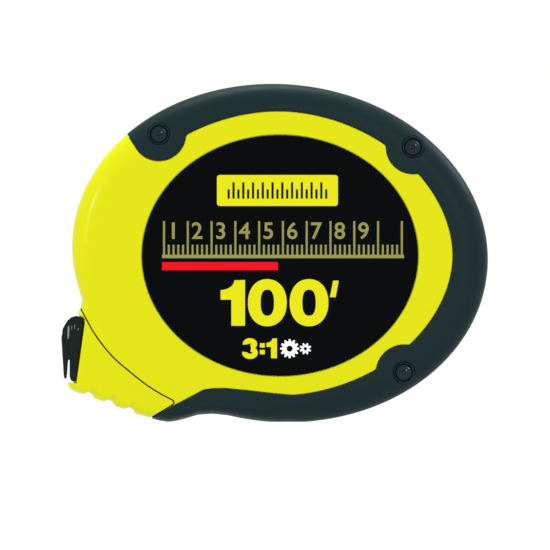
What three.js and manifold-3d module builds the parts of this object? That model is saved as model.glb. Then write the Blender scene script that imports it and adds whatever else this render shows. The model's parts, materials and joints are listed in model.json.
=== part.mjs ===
// Closed-case long measuring tape: a geared hand crank winds the tape on a reel.
// Millimetres, +Z up. The label side faces -Y, the crank side +Y, the tape leaves
// towards -X. The origin is the middle of the footprint, on the standing surface.
import * as THREE from 'three';
import { mergeVertices } from 'three/addons/utils/BufferGeometryUtils.js';
import Module from 'manifold-3d';

const wasm = await Module();
wasm.setup();

// ---------------------------------------------------------------- driving dimensions
const DEG = Math.PI / 180;
const GAP = 0.3; // play between neighbouring pieces
const FAR = 120; // reach of a cutting tool that goes right through

// Case: a tilted oval with a nose, parted in two halves at y = 0
const HALF_DEPTH = 22;
const CASE_CENTRE = [2.34, 69.3];
const CASE_SEMI = [85.5, 69.4];
const CASE_TILT = -5 * DEG;
const OVAL_START = -100.5 * DEG; // where the oval leaves the waist
const OVAL_END = 201.8 * DEG; // where it meets the nose
const OVAL_STEPS = 46;
const BAND = 14; // half width of the case's straight side band
const EDGE = 11; // rounding of the oval's edge, seen square on
const NOSE_EDGE = 4; // rounding round the nose and toe
const EDGE_STEPS = 3;

// Nose, finger scallops and toe, from the oval's left end down and to the right
const NOSE = [[-79.7, 46.7], [-80.8, 44.1], [-83.6, 38.5], [-85.7, 30], [-85.2, 17], [-85, 15.2], [-83.7, 13.1],
  [-80.9, 11.9]];
const SCALLOP = [[-2.05, -0.82], [0, 0], [1.64, -1.03], [2.05, -2.46]];
const SCALLOP_COUNT = 3;
const SCALLOP_FIRST = [-59.55, 5.95];
const SCALLOP_PITCH = [-8.4, 3.08];
const TOE = [[-50.9, 1.6], [-47.7, 0.6], [-43.6, 0], [-40.3, 0.4], [-36.2, 1.4], [-31.3, 2.9],
  [-25.5, 3.3]];

// Case interior
const CAVITY_SEMI = [80.6, 64.7];
const CAVITY_FACE = 19;
const CAVITY_BAND = 11;
const CAVITY_EDGE = 7;
const DISH_RADIUS = 46; // round well for the crank in the back half
const DISH_WALL = 2.2;
const DISH_FLOOR = [3.2, 5.6]; // inner and outer face of the well's floor

// Rubber grip and the yellow field that it leaves bare
const RUBBER = 1.5;
const FIELD_CENTRE = [1.9, 69.15];
const FIELD_SEMI = [71.3, 58.3];
const FIELD_TILT = -1.5 * DEG;
const FIELD_FULLNESS = 1.9; // exponent of the oval, 2 being an ellipse
const GRIP_TOP_END = [[-56.3, 111.7], [-60.4, 117.9], [-64, 123.4], [-71.6, 135]];
const GRIP_LOW_EDGE = [[-56, -2], [-50.1, 1.8], [-46.8, 3.8], [-40.7, 7.1], [-34.5, 10.3], [-29.2, 13.2],
  [-25.5, 13.8], [-20.2, 13.9], [-9.9, 12.9], [-1.7, 11.9], [6.5, 11.5]];

// Case screws, each in a round lobe of the grip
const SCREWS = [
  { at: [-47.3, 118.1], lobe: 11.1 },
  { at: [56.9, 112.75], lobe: 11.1 },
  { at: [53.2, 20.25], lobe: 11.5 },
];
const SCREW_WELL = 4.5;
const SCREW_WELL_FLOOR = -18.5;
const BOSS_RADIUS = 6;

// Label
const LABEL_CENTRE = [2.36, 68.3];
const LABEL_SEMI = [56.6, 49.4];
const LABEL_FACE = [-21.9, -21.5];
const LABEL_RECESS = -21.3;

// Mouthpiece: right-hand seam, and the notch where the end hook rests
const SEAM = [[-83.1, 54.2], [-79.5, 46.8], [-77.2, 42.4], [-74.6, 37.6], [-72.3, 34.2], [-69, 29.8],
  [-66.1, 26.6], [-63.2, 23.9], [-59.8, 21.1], [-56.4, 18.3], [-52.9, 15.6], [-49.5, 13.3], [-46, 11.2],
  [-43.2, 9.8], [-41.2, 8.6]];
const NOTCH = [[-95, 49.6], [-78.4, 43.2], [-77.75, 42.2], [-77.7, 40.4], [-81.1, 15.9], [-95, 15.9]];
const REAR_NOTCH = [[-95, 49.6], [-80.6, 44.05], [-79.9, 42.8], [-79.6, 40.4], [-82.6, 15.9], [-95, 15.9]];

// Reel
const REEL_CENTRE = [2.4, 68.5];
const AXLE_RADIUS = 3.5;
const REEL_BORE = 4;
const HUB_RADIUS = 18;
const FLANGE_RADIUS = 50;
const COIL_RADIUS = 46.8;
const TAPE_BAND = [-16.1, -6.5];

// Epicyclic gears: crank on the carrier, reel on the sun, ring fixed, 3 to 1
const MODULE_SIZE = 1.25;
const PRESSURE = 25 * DEG;
const SUN_TEETH = 20;
const PLANET_TEETH = 10;
const RING_TEETH = SUN_TEETH + 2 * PLANET_TEETH;
const ADDENDUM = 1.125;
const RING_ADDENDUM = 0.9;
const DEDENDUM = 1.5;
const FLANK_PLAY = 0.14;
const PLANET_COUNT = 3;
const FIRST_PLANET = 90 * DEG;
const GEAR_BAND = [-4, 0.6];
const RING_OUTER = 33;
const RING_SCREW_CIRCLE = 29.9;
const CARRIER_PLATE = [1, 2.8];
const CARRIER_RADIUS = 22.5;
const SHAFT_RADIUS = 6;

// Crank, in the reel's own frame: it hangs straight down at rest
const ARM_BASE = [6.5, 8.1];
const ARM_HUB_RADIUS = 11;
const ARM_HALF_WIDTH = 10;
const ARM_LENGTH = 43;
const ARM_CORNER = 4;
const CHEEK_INNER = 7.2;
const HUB_TOP = 12.6;
const HINGE = { y: 14.8, z: -37.5, radius: 1.6 };
const KNOB_BAND = [-32.5, -9.5];

// Tape, its straight way out of the mouth, and the end hook
const MOUTH = [-78, 39.8];
const TAPE_SLOPE = 14.08 * DEG;
const TAPE_MIDDLE = (TAPE_BAND[0] + TAPE_BAND[1]) / 2;
const STRIP_THICKNESS = 0.4;
const STRIP_RUN = [-4.2, 106];
const HOOK_WIDTH = 15;
const HOOK_PIN = [-84.6, 37.6];
const HOOK_PIN_RADIUS = 0.8;
const HOOK_EAR = 2.3; // radius of the two ears that hold the claw's pin
const HOOK_LEG = [[-84, 18.7], [-83.5, 17.1], [-82.3, 16.4], [-81.4, 17.2], [-81.1, 18.6], [-78.1, 40.2],
  [-78.2, 41.8], [-78.7, 42.6], [-81.2, 43.6], [-83.3, 43], [-84.9, 41.6], [-86.1, 39.6]];
const HOOK_LIP = [[-84.6, 36.5], [-84.6, 26], [-84.1, 25.4], [-83.2, 25.4], [-83.2, 36.5]];
const CLAW_HALF_WIDTH = 6.6;
const CLAW_PLATE = [[-87.2, 35.9], [-87.4, 34.3], [-87.2, 31.8], [-87, 27.8], [-86.7, 23.9], [-86.5, 20],
  [-86.3, 18.1], [-85.8, 17.6], [-85.2, 18.2], [-84.95, 21.3], [-84.65, 25], [-84.3, 25.6]];

// ---------------------------------------------------------------- shape helpers
// A three.js geometry as a solid, with shared corners merged
function solid(geometry) {
  const bare = geometry.clone();
  bare.deleteAttribute('normal');
  bare.deleteAttribute('uv');
  const merged = mergeVertices(bare, 1e-4);
  const corners = merged.index.array;
  const triangles = [];
  for (let i = 0; i < corners.length; i += 3) {
    const [a, b, c] = corners.slice(i, i + 3);
    if (a !== b && b !== c && c !== a) {
      triangles.push(a, b, c);
    }
  }
  return new wasm.Manifold(new wasm.Mesh({
    numProp: 3,
    vertProperties: new Float32Array(merged.attributes.position.array),
    triVerts: new Uint32Array(triangles),
  }));
}

function geometryOf(shape) {
  const mesh = shape.getMesh();
  const geometry = new THREE.BufferGeometry();
  geometry.setAttribute('position', new THREE.BufferAttribute(new Float32Array(mesh.vertProperties), 3));
  geometry.setIndex(new THREE.BufferAttribute(new Uint32Array(mesh.triVerts), 1));
  geometry.computeVertexNormals();
  return geometry;
}

function extrusion(points, length) {
  const shape = new THREE.Shape(points.map(([u, v]) => new THREE.Vector2(u, v)));
  return new THREE.ExtrudeGeometry(shape, { depth: length, bevelEnabled: false });
}

// An outline in x and z, drawn from y0 to y1
function prism(points, y0, y1) {
  return solid(extrusion(points, y1 - y0).rotateX(Math.PI / 2).translate(0, y1, 0));
}

// An outline in y and z, drawn from x0 to x1
function sidePrism(points, x0, x1) {
  const turn = new THREE.Matrix4().makeBasis(
    new THREE.Vector3(0, 1, 0),
    new THREE.Vector3(0, 0, 1),
    new THREE.Vector3(1, 0, 0),
  );
  return solid(extrusion(points, x1 - x0).applyMatrix4(turn).translate(x0, 0, 0));
}

function slab([x0, x1], [y0, y1], [z0, z1]) {
  const box = new THREE.BoxGeometry(x1 - x0, y1 - y0, z1 - z0);
  return solid(box.translate((x0 + x1) / 2, (y0 + y1) / 2, (z0 + z1) / 2));
}

// A round bar along y
function bar(radius, y0, y1, [x, z] = [0, 0], sides = 24) {
  return solid(new THREE.CylinderGeometry(radius, radius, y1 - y0, sides).translate(x, (y0 + y1) / 2, z));
}

// A profile of [radius, y] points turned about the y axis, outer side drawn upwards
function turned(profile, sides = 24) {
  const points = profile.map(([radius, y]) => new THREE.Vector2(radius, y));
  return new THREE.LatheGeometry(points, sides);
}

function ringProfile(inner, outer, y0, y1) {
  return [[inner, y0], [outer, y0], [outer, y1], [inner, y1], [inner, y0]];
}

function polar(radius, angle, [x, z] = [0, 0]) {
  return [x + radius * Math.cos(angle), z + radius * Math.sin(angle)];
}

function arc(centre, radius, from, to, steps) {
  const points = [];
  for (let i = 0; i <= steps; i += 1) {
    points.push(polar(radius, from + ((to - from) * i) / steps, centre));
  }
  return points;
}

function ovalPoint([x, z], [semiX, semiZ], tilt, angle, fullness = 2) {
  const swell = (value) => Math.sign(value) * Math.abs(value) ** (2 / fullness);
  const u = semiX * swell(Math.cos(angle));
  const v = semiZ * swell(Math.sin(angle));
  return [x + u * Math.cos(tilt) - v * Math.sin(tilt), z + u * Math.sin(tilt) + v * Math.cos(tilt)];
}

function oval(centre, semi, tilt, steps, fullness) {
  const points = [];
  for (let i = 0; i < steps; i += 1) {
    points.push(ovalPoint(centre, semi, tilt, (2 * Math.PI * i) / steps, fullness));
  }
  return points;
}

function moved(points, dx, dz) {
  return points.map(([x, z]) => [x + dx, z + dz]);
}

// A skin through equal rings of points, front to back, closed by flat ends
function loft(rings) {
  const count = rings[0].points.length;
  const positions = rings.flatMap((ring) => ring.points.flatMap(([x, z]) => [x, ring.y, z]));
  const triangles = [];
  for (let level = 0; level < rings.length - 1; level += 1) {
    for (let i = 0; i < count; i += 1) {
      const a = level * count + i;
      const b = level * count + ((i + 1) % count);
      triangles.push(a, a + count, b, b, a + count, b + count);
    }
  }
  const lastRing = (rings.length - 1) * count;
  for (const [start, ring] of [[0, rings[0]], [lastRing, rings[rings.length - 1]]]) {
    const contour = ring.points.map(([x, z]) => new THREE.Vector2(x, z));
    for (const [a, b, c] of THREE.ShapeUtils.triangulateShape(contour, [])) {
      triangles.push(...(start === 0 ? [a, b, c] : [start + a, start + c, start + b]));
    }
  }
  const geometry = new THREE.BufferGeometry();
  geometry.setAttribute('position', new THREE.Float32BufferAttribute(positions, 3));
  geometry.setIndex(triangles);
  return solid(geometry);
}

// ---------------------------------------------------------------- case shapes
// The outline anticlockwise from the front, each point with its edge rounding
function caseOutline() {
  const outline = NOSE.map((point) => ({ point, edge: NOSE_EDGE }));
  for (let k = SCALLOP_COUNT - 1; k >= 0; k -= 1) {
    const x = SCALLOP_FIRST[0] + k * SCALLOP_PITCH[0];
    const z = SCALLOP_FIRST[1] + k * SCALLOP_PITCH[1];
    outline.push(...moved(SCALLOP, x, z).map((point) => ({ point, edge: NOSE_EDGE })));
  }
  outline.push(...TOE.map((point) => ({ point, edge: NOSE_EDGE })));
  for (let i = 0; i <= OVAL_STEPS; i += 1) {
    const angle = OVAL_START + ((OVAL_END - OVAL_START) * i) / OVAL_STEPS;
    const [x, z] = ovalPoint(CASE_CENTRE, CASE_SEMI, CASE_TILT, angle);
    const fromWaist = THREE.MathUtils.smoothstep(angle, OVAL_START, OVAL_START + 30 * DEG);
    const fromNose = 1 - THREE.MathUtils.smoothstep(angle, OVAL_END - 30 * DEG, OVAL_END);
    const edge = NOSE_EDGE + (EDGE - NOSE_EDGE) * Math.min(fromWaist, fromNose);
    outline.push({ point: [x, Math.max(z, 0)], edge });
  }
  return outline;
}

function towardsCentre([x, z], distance) {
  const dx = x - CASE_CENTRE[0];
  const dz = z - CASE_CENTRE[1];
  const scale = 1 - distance / Math.hypot(dx, dz);
  return [CASE_CENTRE[0] + dx * scale, CASE_CENTRE[1] + dz * scale];
}

// The case's round-edged body, its whole skin drawn in by the inset
function caseBody(inset) {
  const outline = caseOutline();
  const rings = [];
  for (const side of [-1, 1]) {
    for (let i = 0; i <= EDGE_STEPS; i += 1) {
      const step = side < 0 ? EDGE_STEPS - i : i;
      const angle = (90 * DEG * step) / EDGE_STEPS;
      const y = side * (BAND + (HALF_DEPTH - BAND - inset) * Math.sin(angle));
      const points = outline.map(({ point, edge }) => {
        const drawnIn = inset + (edge - inset) * (1 - Math.cos(angle));
        return towardsCentre(point, drawnIn);
      });
      rings.push({ y, points });
    }
  }
  return loft(rings);
}

function caseCavity() {
  const rings = [];
  for (const side of [-1, 1]) {
    for (let i = 0; i <= EDGE_STEPS; i += 1) {
      const step = side < 0 ? EDGE_STEPS - i : i;
      const angle = (90 * DEG * step) / EDGE_STEPS;
      const drawnIn = CAVITY_EDGE * (1 - Math.cos(angle));
      const semi = [CAVITY_SEMI[0] - drawnIn, CAVITY_SEMI[1] - drawnIn];
      const y = side * (CAVITY_BAND + (CAVITY_FACE - CAVITY_BAND) * Math.sin(angle));
      rings.push({ y, points: oval(CASE_CENTRE, semi, CASE_TILT, 32) });
    }
  }
  return loft(rings);
}

// The part of the case that the rubber leaves bare, drawn back from it by the gap
function bareField(gap) {
  const semi = FIELD_SEMI.map((value) => value - gap);
  const cheek = [
    [-110, -20],
    [-56, -20],
    ...moved(GRIP_LOW_EDGE, -0.6 * gap, gap),
    FIELD_CENTRE,
    ...moved(GRIP_TOP_END, -1.2 * gap, 0),
    [-110, 135],
  ];
  let field = prism(oval(FIELD_CENTRE, semi, FIELD_TILT, 48, FIELD_FULLNESS), -FAR, FAR);
  field = field.add(prism(cheek, -FAR, FAR));
  for (const { at, lobe } of SCREWS) {
    field = field.subtract(bar(lobe + gap, -FAR, FAR, at, 32));
  }
  return field;
}

// The mouthpiece's ground, made larger by the gap
function mouthRegion(gap) {
  const outline = [
    [-110, 60],
    ...moved(SEAM, 0.75 * gap, 0.75 * gap),
    ...moved(GRIP_LOW_EDGE.slice(0, 4).reverse(), 0.6 * gap, -gap),
    [-56, -20],
    [-110, -20],
  ];
  return prism(outline, -FAR, FAR);
}

function notch() {
  const [, back] = hookBand(HOOK_WIDTH / 2 + 0.5);
  return prism(NOTCH, -FAR, back).add(prism(REAR_NOTCH, back - 1, FAR));
}

function half(side) {
  const inner = side * (GAP / 2);
  return slab([-FAR, FAR], side < 0 ? [-FAR, inner] : [inner, FAR], [-FAR, 2 * FAR]);
}

// A strip of the tape's way, from and to distances inwards of the mouth
function tapeWay([from, to], thickness, [y0, y1]) {
  const corner = (along, across) => [
    MOUTH[0] + along * Math.cos(TAPE_SLOPE) + across * Math.sin(TAPE_SLOPE),
    MOUTH[1] - along * Math.sin(TAPE_SLOPE) + across * Math.cos(TAPE_SLOPE),
  ];
  const side = thickness / 2;
  return prism([corner(from, -side), corner(to, -side), corner(to, side), corner(from, side)], y0, y1);
}

function tapeSlot() {
  return tapeWay([-14, 24], 1.8, [TAPE_BAND[0] - 0.9, TAPE_BAND[1] + 0.9]);
}

function caseShell(side) {
  const skin = caseBody(0).intersect(bareField(GAP)).add(caseBody(RUBBER + GAP));
  let cavity = caseCavity();
  if (side > 0) {
    const well = bar(DISH_RADIUS + DISH_WALL, DISH_FLOOR[0], FAR, REEL_CENTRE, 56);
    cavity = cavity.subtract(well);
  }
  let shell = skin.subtract(cavity);
  const core = caseBody(RUBBER + GAP);
  for (const { at } of SCREWS) {
    shell = shell.add(bar(BOSS_RADIUS, -FAR, FAR, at).intersect(core));
  }
  return shell.intersect(half(side)).subtract(mouthRegion(GAP)).subtract(notch()).subtract(tapeSlot());
}

function frontShell() {
  const recess = LABEL_SEMI.map((value) => value + GAP);
  let shell = caseShell(-1)
    .subtract(prism(oval(LABEL_CENTRE, recess, 0, 48), -FAR, LABEL_RECESS))
    .subtract(bar(AXLE_RADIUS + GAP, -FAR, 0, REEL_CENTRE))
    .subtract(bar(6.3, -FAR, -20.1, REEL_CENTRE, 32));
  for (const { at } of SCREWS) {
    shell = shell.subtract(bar(1.9, -FAR, 0, at, 16));
    shell = shell.subtract(bar(SCREW_WELL, -FAR, SCREW_WELL_FLOOR, at));
  }
  return shell;
}

function backShell() {
  let shell = caseShell(1)
    .subtract(bar(DISH_RADIUS, DISH_FLOOR[1], FAR, REEL_CENTRE, 56))
    .subtract(bar(10.5, 5, FAR, REEL_CENTRE, 32))
    .subtract(bar(8.5, 0, FAR, REEL_CENTRE, 32));
  for (const { at } of SCREWS) {
    shell = shell.subtract(bar(1.4, 0, 13, at, 16));
  }
  for (let k = 0; k < PLANET_COUNT; k += 1) {
    const at = polar(RING_SCREW_CIRCLE, ringScrewAngle(k), REEL_CENTRE);
    shell = shell.subtract(bar(1.2, 0, 5.2, at, 12));
  }
  return shell;
}

function grip(side) {
  let rubber = caseBody(0).subtract(bareField(0)).subtract(caseBody(RUBBER)).intersect(half(side));
  if (side < 0) {
    for (const { at } of SCREWS) {
      rubber = rubber.subtract(bar(SCREW_WELL + 0.2, -FAR, 0, at));
    }
  }
  return rubber;
}

function mouthpiece() {
  return caseBody(0)
    .intersect(mouthRegion(0))
    .intersect(bareField(GAP))
    .subtract(notch())
    .subtract(tapeSlot());
}

function caseScrew() {
  return turned([[0, -20.4], [1.8, -20.2], [3, -19.6], [3.5, -18.8], [1.6, -18.8], [1.6, -0.8], [1.1, -0.3],
    [1.1, 11.6], [0, 12.4]], 16);
}

// ---------------------------------------------------------------- gears
function involute(angle) {
  return Math.tan(angle) - angle;
}

// Half the angle that a tooth spans at a radius, its flank radial below the base circle
function toothHalfAngle(teeth, radius, play) {
  const pitch = (teeth * MODULE_SIZE) / 2;
  const base = pitch * Math.cos(PRESSURE);
  const slope = Math.acos(base / Math.max(radius, base));
  return Math.PI / (2 * teeth) + involute(PRESSURE) - involute(slope) - play / pitch;
}

// Teeth as an outline: radii go from root to tip, first is the angle of one tooth
function toothedOutline(teeth, radii, play, first) {
  const points = [];
  for (let k = 0; k < teeth; k += 1) {
    const middle = first + (2 * Math.PI * k) / teeth;
    for (const radius of radii) {
      points.push(polar(radius, middle - toothHalfAngle(teeth, radius, play)));
    }
    for (const radius of [...radii].reverse()) {
      points.push(polar(radius, middle + toothHalfAngle(teeth, radius, play)));
    }
  }
  return points;
}

function spurGear(teeth, [y0, y1], bore, first) {
  const pitch = (teeth * MODULE_SIZE) / 2;
  const base = pitch * Math.cos(PRESSURE);
  const low = Math.max(base, pitch - DEDENDUM / 2);
  const radii = [pitch - DEDENDUM, low, pitch, pitch + ADDENDUM];
  return prism(toothedOutline(teeth, radii, FLANK_PLAY, first), y0, y1).subtract(bar(bore, -FAR, FAR));
}

function ringScrewAngle(k) {
  return FIRST_PLANET + 60 * DEG + (2 * Math.PI * k) / PLANET_COUNT;
}

function ringGear() {
  const pitch = (RING_TEETH * MODULE_SIZE) / 2;
  const radii = [pitch - RING_ADDENDUM, pitch, pitch + DEDENDUM];
  const spaces = toothedOutline(RING_TEETH, radii, -FLANK_PLAY, FIRST_PLANET);
  let gear = bar(RING_OUTER, GEAR_BAND[0], 2.9, [0, 0], 48).subtract(prism(spaces, -FAR, FAR));
  for (let k = 0; k < PLANET_COUNT; k += 1) {
    const at = polar(RING_SCREW_CIRCLE, ringScrewAngle(k));
    gear = gear.subtract(bar(1.2, -FAR, FAR, at, 12)).subtract(bar(2.1, -FAR, -2.6, at, 16));
  }
  return gear;
}

// The turn that meshes planet k: its teeth roll with the ring spaces that it has passed
function planetPhase(k) {
  const travelled = (360 / PLANET_COUNT) * k;
  const past = travelled % (360 / RING_TEETH);
  return -past * (RING_TEETH / PLANET_TEETH) * DEG;
}

function planetAngle(k) {
  return FIRST_PLANET + (2 * Math.PI * k) / PLANET_COUNT;
}

const PLANET_CIRCLE = ((SUN_TEETH + PLANET_TEETH) * MODULE_SIZE) / 2;

function planetCarrier() {
  const square = 3.7;
  let carrier = bar(CARRIER_RADIUS, CARRIER_PLATE[0], CARRIER_PLATE[1], [0, 0], 48)
    .add(bar(SHAFT_RADIUS, CARRIER_PLATE[0], ARM_BASE[0] - 0.2, [0, 0], 32))
    .add(slab([-square, square], [CARRIER_PLATE[0], 11], [-square, square]))
    .subtract(bar(AXLE_RADIUS + GAP, -FAR, 2.4))
    .subtract(bar(1.8, 4.5, FAR, [0, 0], 16));
  for (let k = 0; k < PLANET_COUNT; k += 1) {
    carrier = carrier.subtract(bar(2.25, -FAR, 2.5, polar(PLANET_CIRCLE, planetAngle(k)), 16));
  }
  return carrier;
}

// ---------------------------------------------------------------- crank and knob
function armOutline() {
  const cornerX = ARM_HALF_WIDTH - ARM_CORNER;
  const cornerZ = -(ARM_LENGTH - ARM_CORNER);
  return [
    ...arc([0, 0], ARM_HUB_RADIUS, 0, 180 * DEG, 14),
    [-ARM_HALF_WIDTH, -14],
    ...arc([-cornerX, cornerZ], ARM_CORNER, 180 * DEG, 270 * DEG, 4),
    ...arc([cornerX, cornerZ], ARM_CORNER, 270 * DEG, 360 * DEG, 4),
    [ARM_HALF_WIDTH, -14],
  ];
}

function crankArm() {
  const squareHole = 4;
  const cheekSide = [
    [ARM_BASE[0], -12],
    [ARM_BASE[1], -12],
    [12.6, -19],
    [17.6, -30],
    ...arc([HINGE.y, HINGE.z], 3.9, 30 * DEG, -90 * DEG, 6),
    [ARM_BASE[0], HINGE.z - 3.9],
  ];
  const cheeks = prism(armOutline(), ARM_BASE[0], HALF_DEPTH)
    .intersect(sidePrism(cheekSide, -FAR, FAR))
    .subtract(slab([-CHEEK_INNER, CHEEK_INNER], [ARM_BASE[0], FAR], [-FAR, FAR]));
  return prism(armOutline(), ARM_BASE[0], ARM_BASE[1])
    .add(cheeks)
    .add(bar(8, ARM_BASE[0], HUB_TOP, [0, 0], 32))
    .subtract(slab([-squareHole, squareHole], [0, 11.2], [-squareHole, squareHole]))
    .subtract(bar(1.9, 0, FAR, [0, 0], 16))
    .subtract(crossBar(HINGE.radius + GAP, -FAR, FAR));
}

// A round bar along x on the knob's hinge line
function crossBar(radius, x0, x1) {
  const rod = new THREE.CylinderGeometry(radius, radius, x1 - x0, 20).rotateZ(Math.PI / 2);
  return solid(rod.translate((x0 + x1) / 2, HINGE.y, HINGE.z));
}

// A profile of [radius, z] points turned about the knob's own upright axis
function uprightTurned(profile, sides = 24) {
  return solid(turned(profile, sides).rotateX(Math.PI / 2).translate(0, HINGE.y, 0));
}

function knobPost() {
  return crossBar(4, -6.7, 6.7)
    .add(uprightTurned([[0, HINGE.z], [2.2, HINGE.z], [2.2, -11.4], [0, -11.4]]))
    .add(uprightTurned([[0, -35], [4.6, -35], [4.6, -32.9], [0, -32.9]]))
    .subtract(crossBar(HINGE.radius + GAP, -FAR, FAR))
    .subtract(uprightTurned([[0, -22], [1.15, -22], [1.15, 0], [0, 0]], 12));
}

function knobGrip() {
  const [low, high] = KNOB_BAND;
  return uprightTurned([[2.5, low], [5.5, low], [6.1, low + 0.8], [6.3, low + 3], [5.9, low + 8],
    [5.8, low + 12], [6.1, high - 5], [6.1, high - 2], [5.6, high - 0.6], [4.9, high], [3.8, high],
    [3.8, high - 1.6], [2.5, high - 1.6], [2.5, low]], 28);
}

function knobEndScrew() {
  return uprightTurned([[0, -19], [0.85, -19], [0.85, -10.9], [3.3, -10.9], [3.3, -10.2], [2.6, -9.7],
    [0, -9.7]], 16);
}

// ---------------------------------------------------------------- tape and end hook
function hookBand(halfWidth) {
  return [TAPE_MIDDLE - halfWidth, TAPE_MIDDLE + halfWidth];
}

// A rivet's bar across the tape, square to it, beside the middle by the offset
function rivetBar(radius, low, high, offset) {
  const rod = new THREE.CylinderGeometry(radius, radius, high - low, 12).translate(0, (low + high) / 2, 0);
  rod.rotateX(Math.PI / 2).rotateY(TAPE_SLOPE);
  const along = -2.3;
  const x = MOUTH[0] + along * Math.cos(TAPE_SLOPE);
  const z = MOUTH[1] - along * Math.sin(TAPE_SLOPE);
  return solid(rod.translate(x, TAPE_MIDDLE + offset, z));
}

const RIVET_OFFSETS = [-2.6, 2.6];

function hookBody() {
  const [y0, y1] = hookBand(HOOK_WIDTH / 2);
  const knuckleRoom = hookBand(4.9);
  const lipBand = hookBand(CLAW_HALF_WIDTH + GAP);
  const outline = [...HOOK_LEG, ...arc(HOOK_PIN, HOOK_EAR, 165 * DEG, 283 * DEG, 8), [-84, 35]];
  let hook = prism(outline, y0, y1)
    .add(prism(HOOK_LIP, y0, lipBand[0]))
    .add(prism(HOOK_LIP, lipBand[1], y1))
    .subtract(bar(HOOK_EAR, knuckleRoom[0], knuckleRoom[1], HOOK_PIN))
    .subtract(slab([-90, -84], knuckleRoom, [30, 40]))
    .subtract(bar(HOOK_PIN_RADIUS + GAP, y0 + 0.9, FAR, HOOK_PIN, 16))
    .subtract(tapeWay([STRIP_RUN[0] - 0.4, 6], STRIP_THICKNESS + 2 * GAP, hookBand(5.1)));
  for (const offset of RIVET_OFFSETS) {
    hook = hook.subtract(rivetBar(1.05, -2.1, 6, offset));
  }
  return hook;
}

function tapeStrip() {
  let strip = tapeWay(STRIP_RUN, STRIP_THICKNESS, TAPE_BAND);
  for (const offset of RIVET_OFFSETS) {
    strip = strip.subtract(rivetBar(1.05, -2, 2, offset));
  }
  return strip;
}

function hookClaw() {
  const knuckle = hookBand(4.6);
  const plate = hookBand(CLAW_HALF_WIDTH);
  const top = arc(HOOK_PIN, HOOK_EAR + 0.4, 278 * DEG, 213 * DEG, 6);
  return bar(1.9, knuckle[0], knuckle[1], HOOK_PIN)
    .add(slab([-86.3, -84.3], knuckle, [34.2, HOOK_PIN[1]]))
    .add(prism([...CLAW_PLATE, ...top], plate[0], plate[1]))
    .subtract(bar(HOOK_PIN_RADIUS + GAP, -FAR, FAR, HOOK_PIN, 16));
}

// ---------------------------------------------------------------- finishes and assembly
function finish(color, roughness, metalness = 0) {
  return () => new THREE.MeshStandardMaterial({ color, roughness, metalness });
}

const yellowPlastic = finish(0xe2e319, 0.42);
const rubberBlack = finish(0x22302f, 0.7);
const labelBlack = finish(0x0a0b0c, 0.3);
const blackNylon = finish(0x1b2423, 0.45);
const naturalNylon = finish(0xe8e6da, 0.5);
const steel = finish(0xb9bcc0, 0.35, 1);
const darkSteel = finish(0x3b3e42, 0.4, 1);
const tapeYellow = finish(0xf0d22a, 0.4);
const brass = finish(0xb08d45, 0.35, 1);

function node(group, name, shape, material, [x, z] = [0, 0]) {
  const geometry = shape.isBufferGeometry ? geometryOf(solid(shape)) : geometryOf(shape);
  const mesh = new THREE.Mesh(geometry, material());
  mesh.name = name;
  mesh.position.set(x, 0, z);
  group.add(mesh);
  return mesh;
}

function subgroup(parent, [x, z] = [0, 0]) {
  const child = new THREE.Group();
  child.position.set(x, 0, z);
  parent.add(child);
  return child;
}

const group = new THREE.Group();

// Case
node(group, 'front_shell', frontShell(), yellowPlastic);
node(group, 'back_shell', backShell(), yellowPlastic);
node(group, 'nose_insert', mouthpiece(), yellowPlastic);
node(group, 'grip_front', grip(-1), rubberBlack);
node(group, 'grip_back', grip(1), rubberBlack);
node(group, 'label_disc', prism(oval(LABEL_CENTRE, LABEL_SEMI, 0, 48), ...LABEL_FACE), labelBlack);
SCREWS.forEach(({ at }, index) => {
  node(group, `case_screw_${index + 1}`, caseScrew(), darkSteel, at);
});

// Fixed parts round the reel
const centre = subgroup(group, REEL_CENTRE);
const axleProfile = [[0, -21.2], [6, -21.2], [6, -20.3], [AXLE_RADIUS, -20.3], [AXLE_RADIUS, 2], [0, 2]];
node(centre, 'axle', turned(axleProfile, 24), steel);
node(centre, 'reel_washer', turned(ringProfile(REEL_BORE, 10, -18.7, -18.1), 24), naturalNylon);
node(centre, 'ring_gear', ringGear(), naturalNylon);
for (let k = 0; k < PLANET_COUNT; k += 1) {
  const profile = [[0, -4], [1.8, -4], [1.8, -2.8], [0.95, -2.8], [0.95, 5], [0, 5]];
  const at = polar(RING_SCREW_CIRCLE, ringScrewAngle(k));
  node(centre, `ring_gear_screw_${k + 1}`, turned(profile, 16), darkSteel, at);
}
const bushProfile = [[6.3, 3.1], [8.2, 3.1], [8.2, 5.3], [10.2, 5.3], [10.2, 6.2], [6.3, 6.2], [6.3, 3.1]];
node(centre, 'crank_bush', turned(bushProfile, 28), brass);

// Reel
const reel = subgroup(group, REEL_CENTRE);
const hubProfile = [[REEL_BORE, -16.3], [7.5, -16.3], [7.5, -12.4], [15.6, -12.4], [15.6, -16.3],
  [HUB_RADIUS, -16.3], [HUB_RADIUS, -6.3], [15.6, -6.3], [15.6, -10.2], [7.5, -10.2], [7.5, -6.3],
  [REEL_BORE, -6.3], [REEL_BORE, -16.3]];
node(reel, 'reel_hub', turned(hubProfile, 32), naturalNylon);
for (const [name, y0, y1] of [['reel_flange_front', -17.8, -16.6], ['reel_flange_back', -6, -4.6]]) {
  node(reel, name, turned(ringProfile(REEL_BORE, FLANGE_RADIUS, y0, y1), 48), naturalNylon);
}
node(reel, 'tape_coil', turned(ringProfile(HUB_RADIUS + GAP, COIL_RADIUS, ...TAPE_BAND), 48), tapeYellow);
const sunFirst = FIRST_PLANET + Math.PI / SUN_TEETH;
node(reel, 'sun_gear', spurGear(SUN_TEETH, [-4.3, 0.7], REEL_BORE, sunFirst), naturalNylon);

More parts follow.
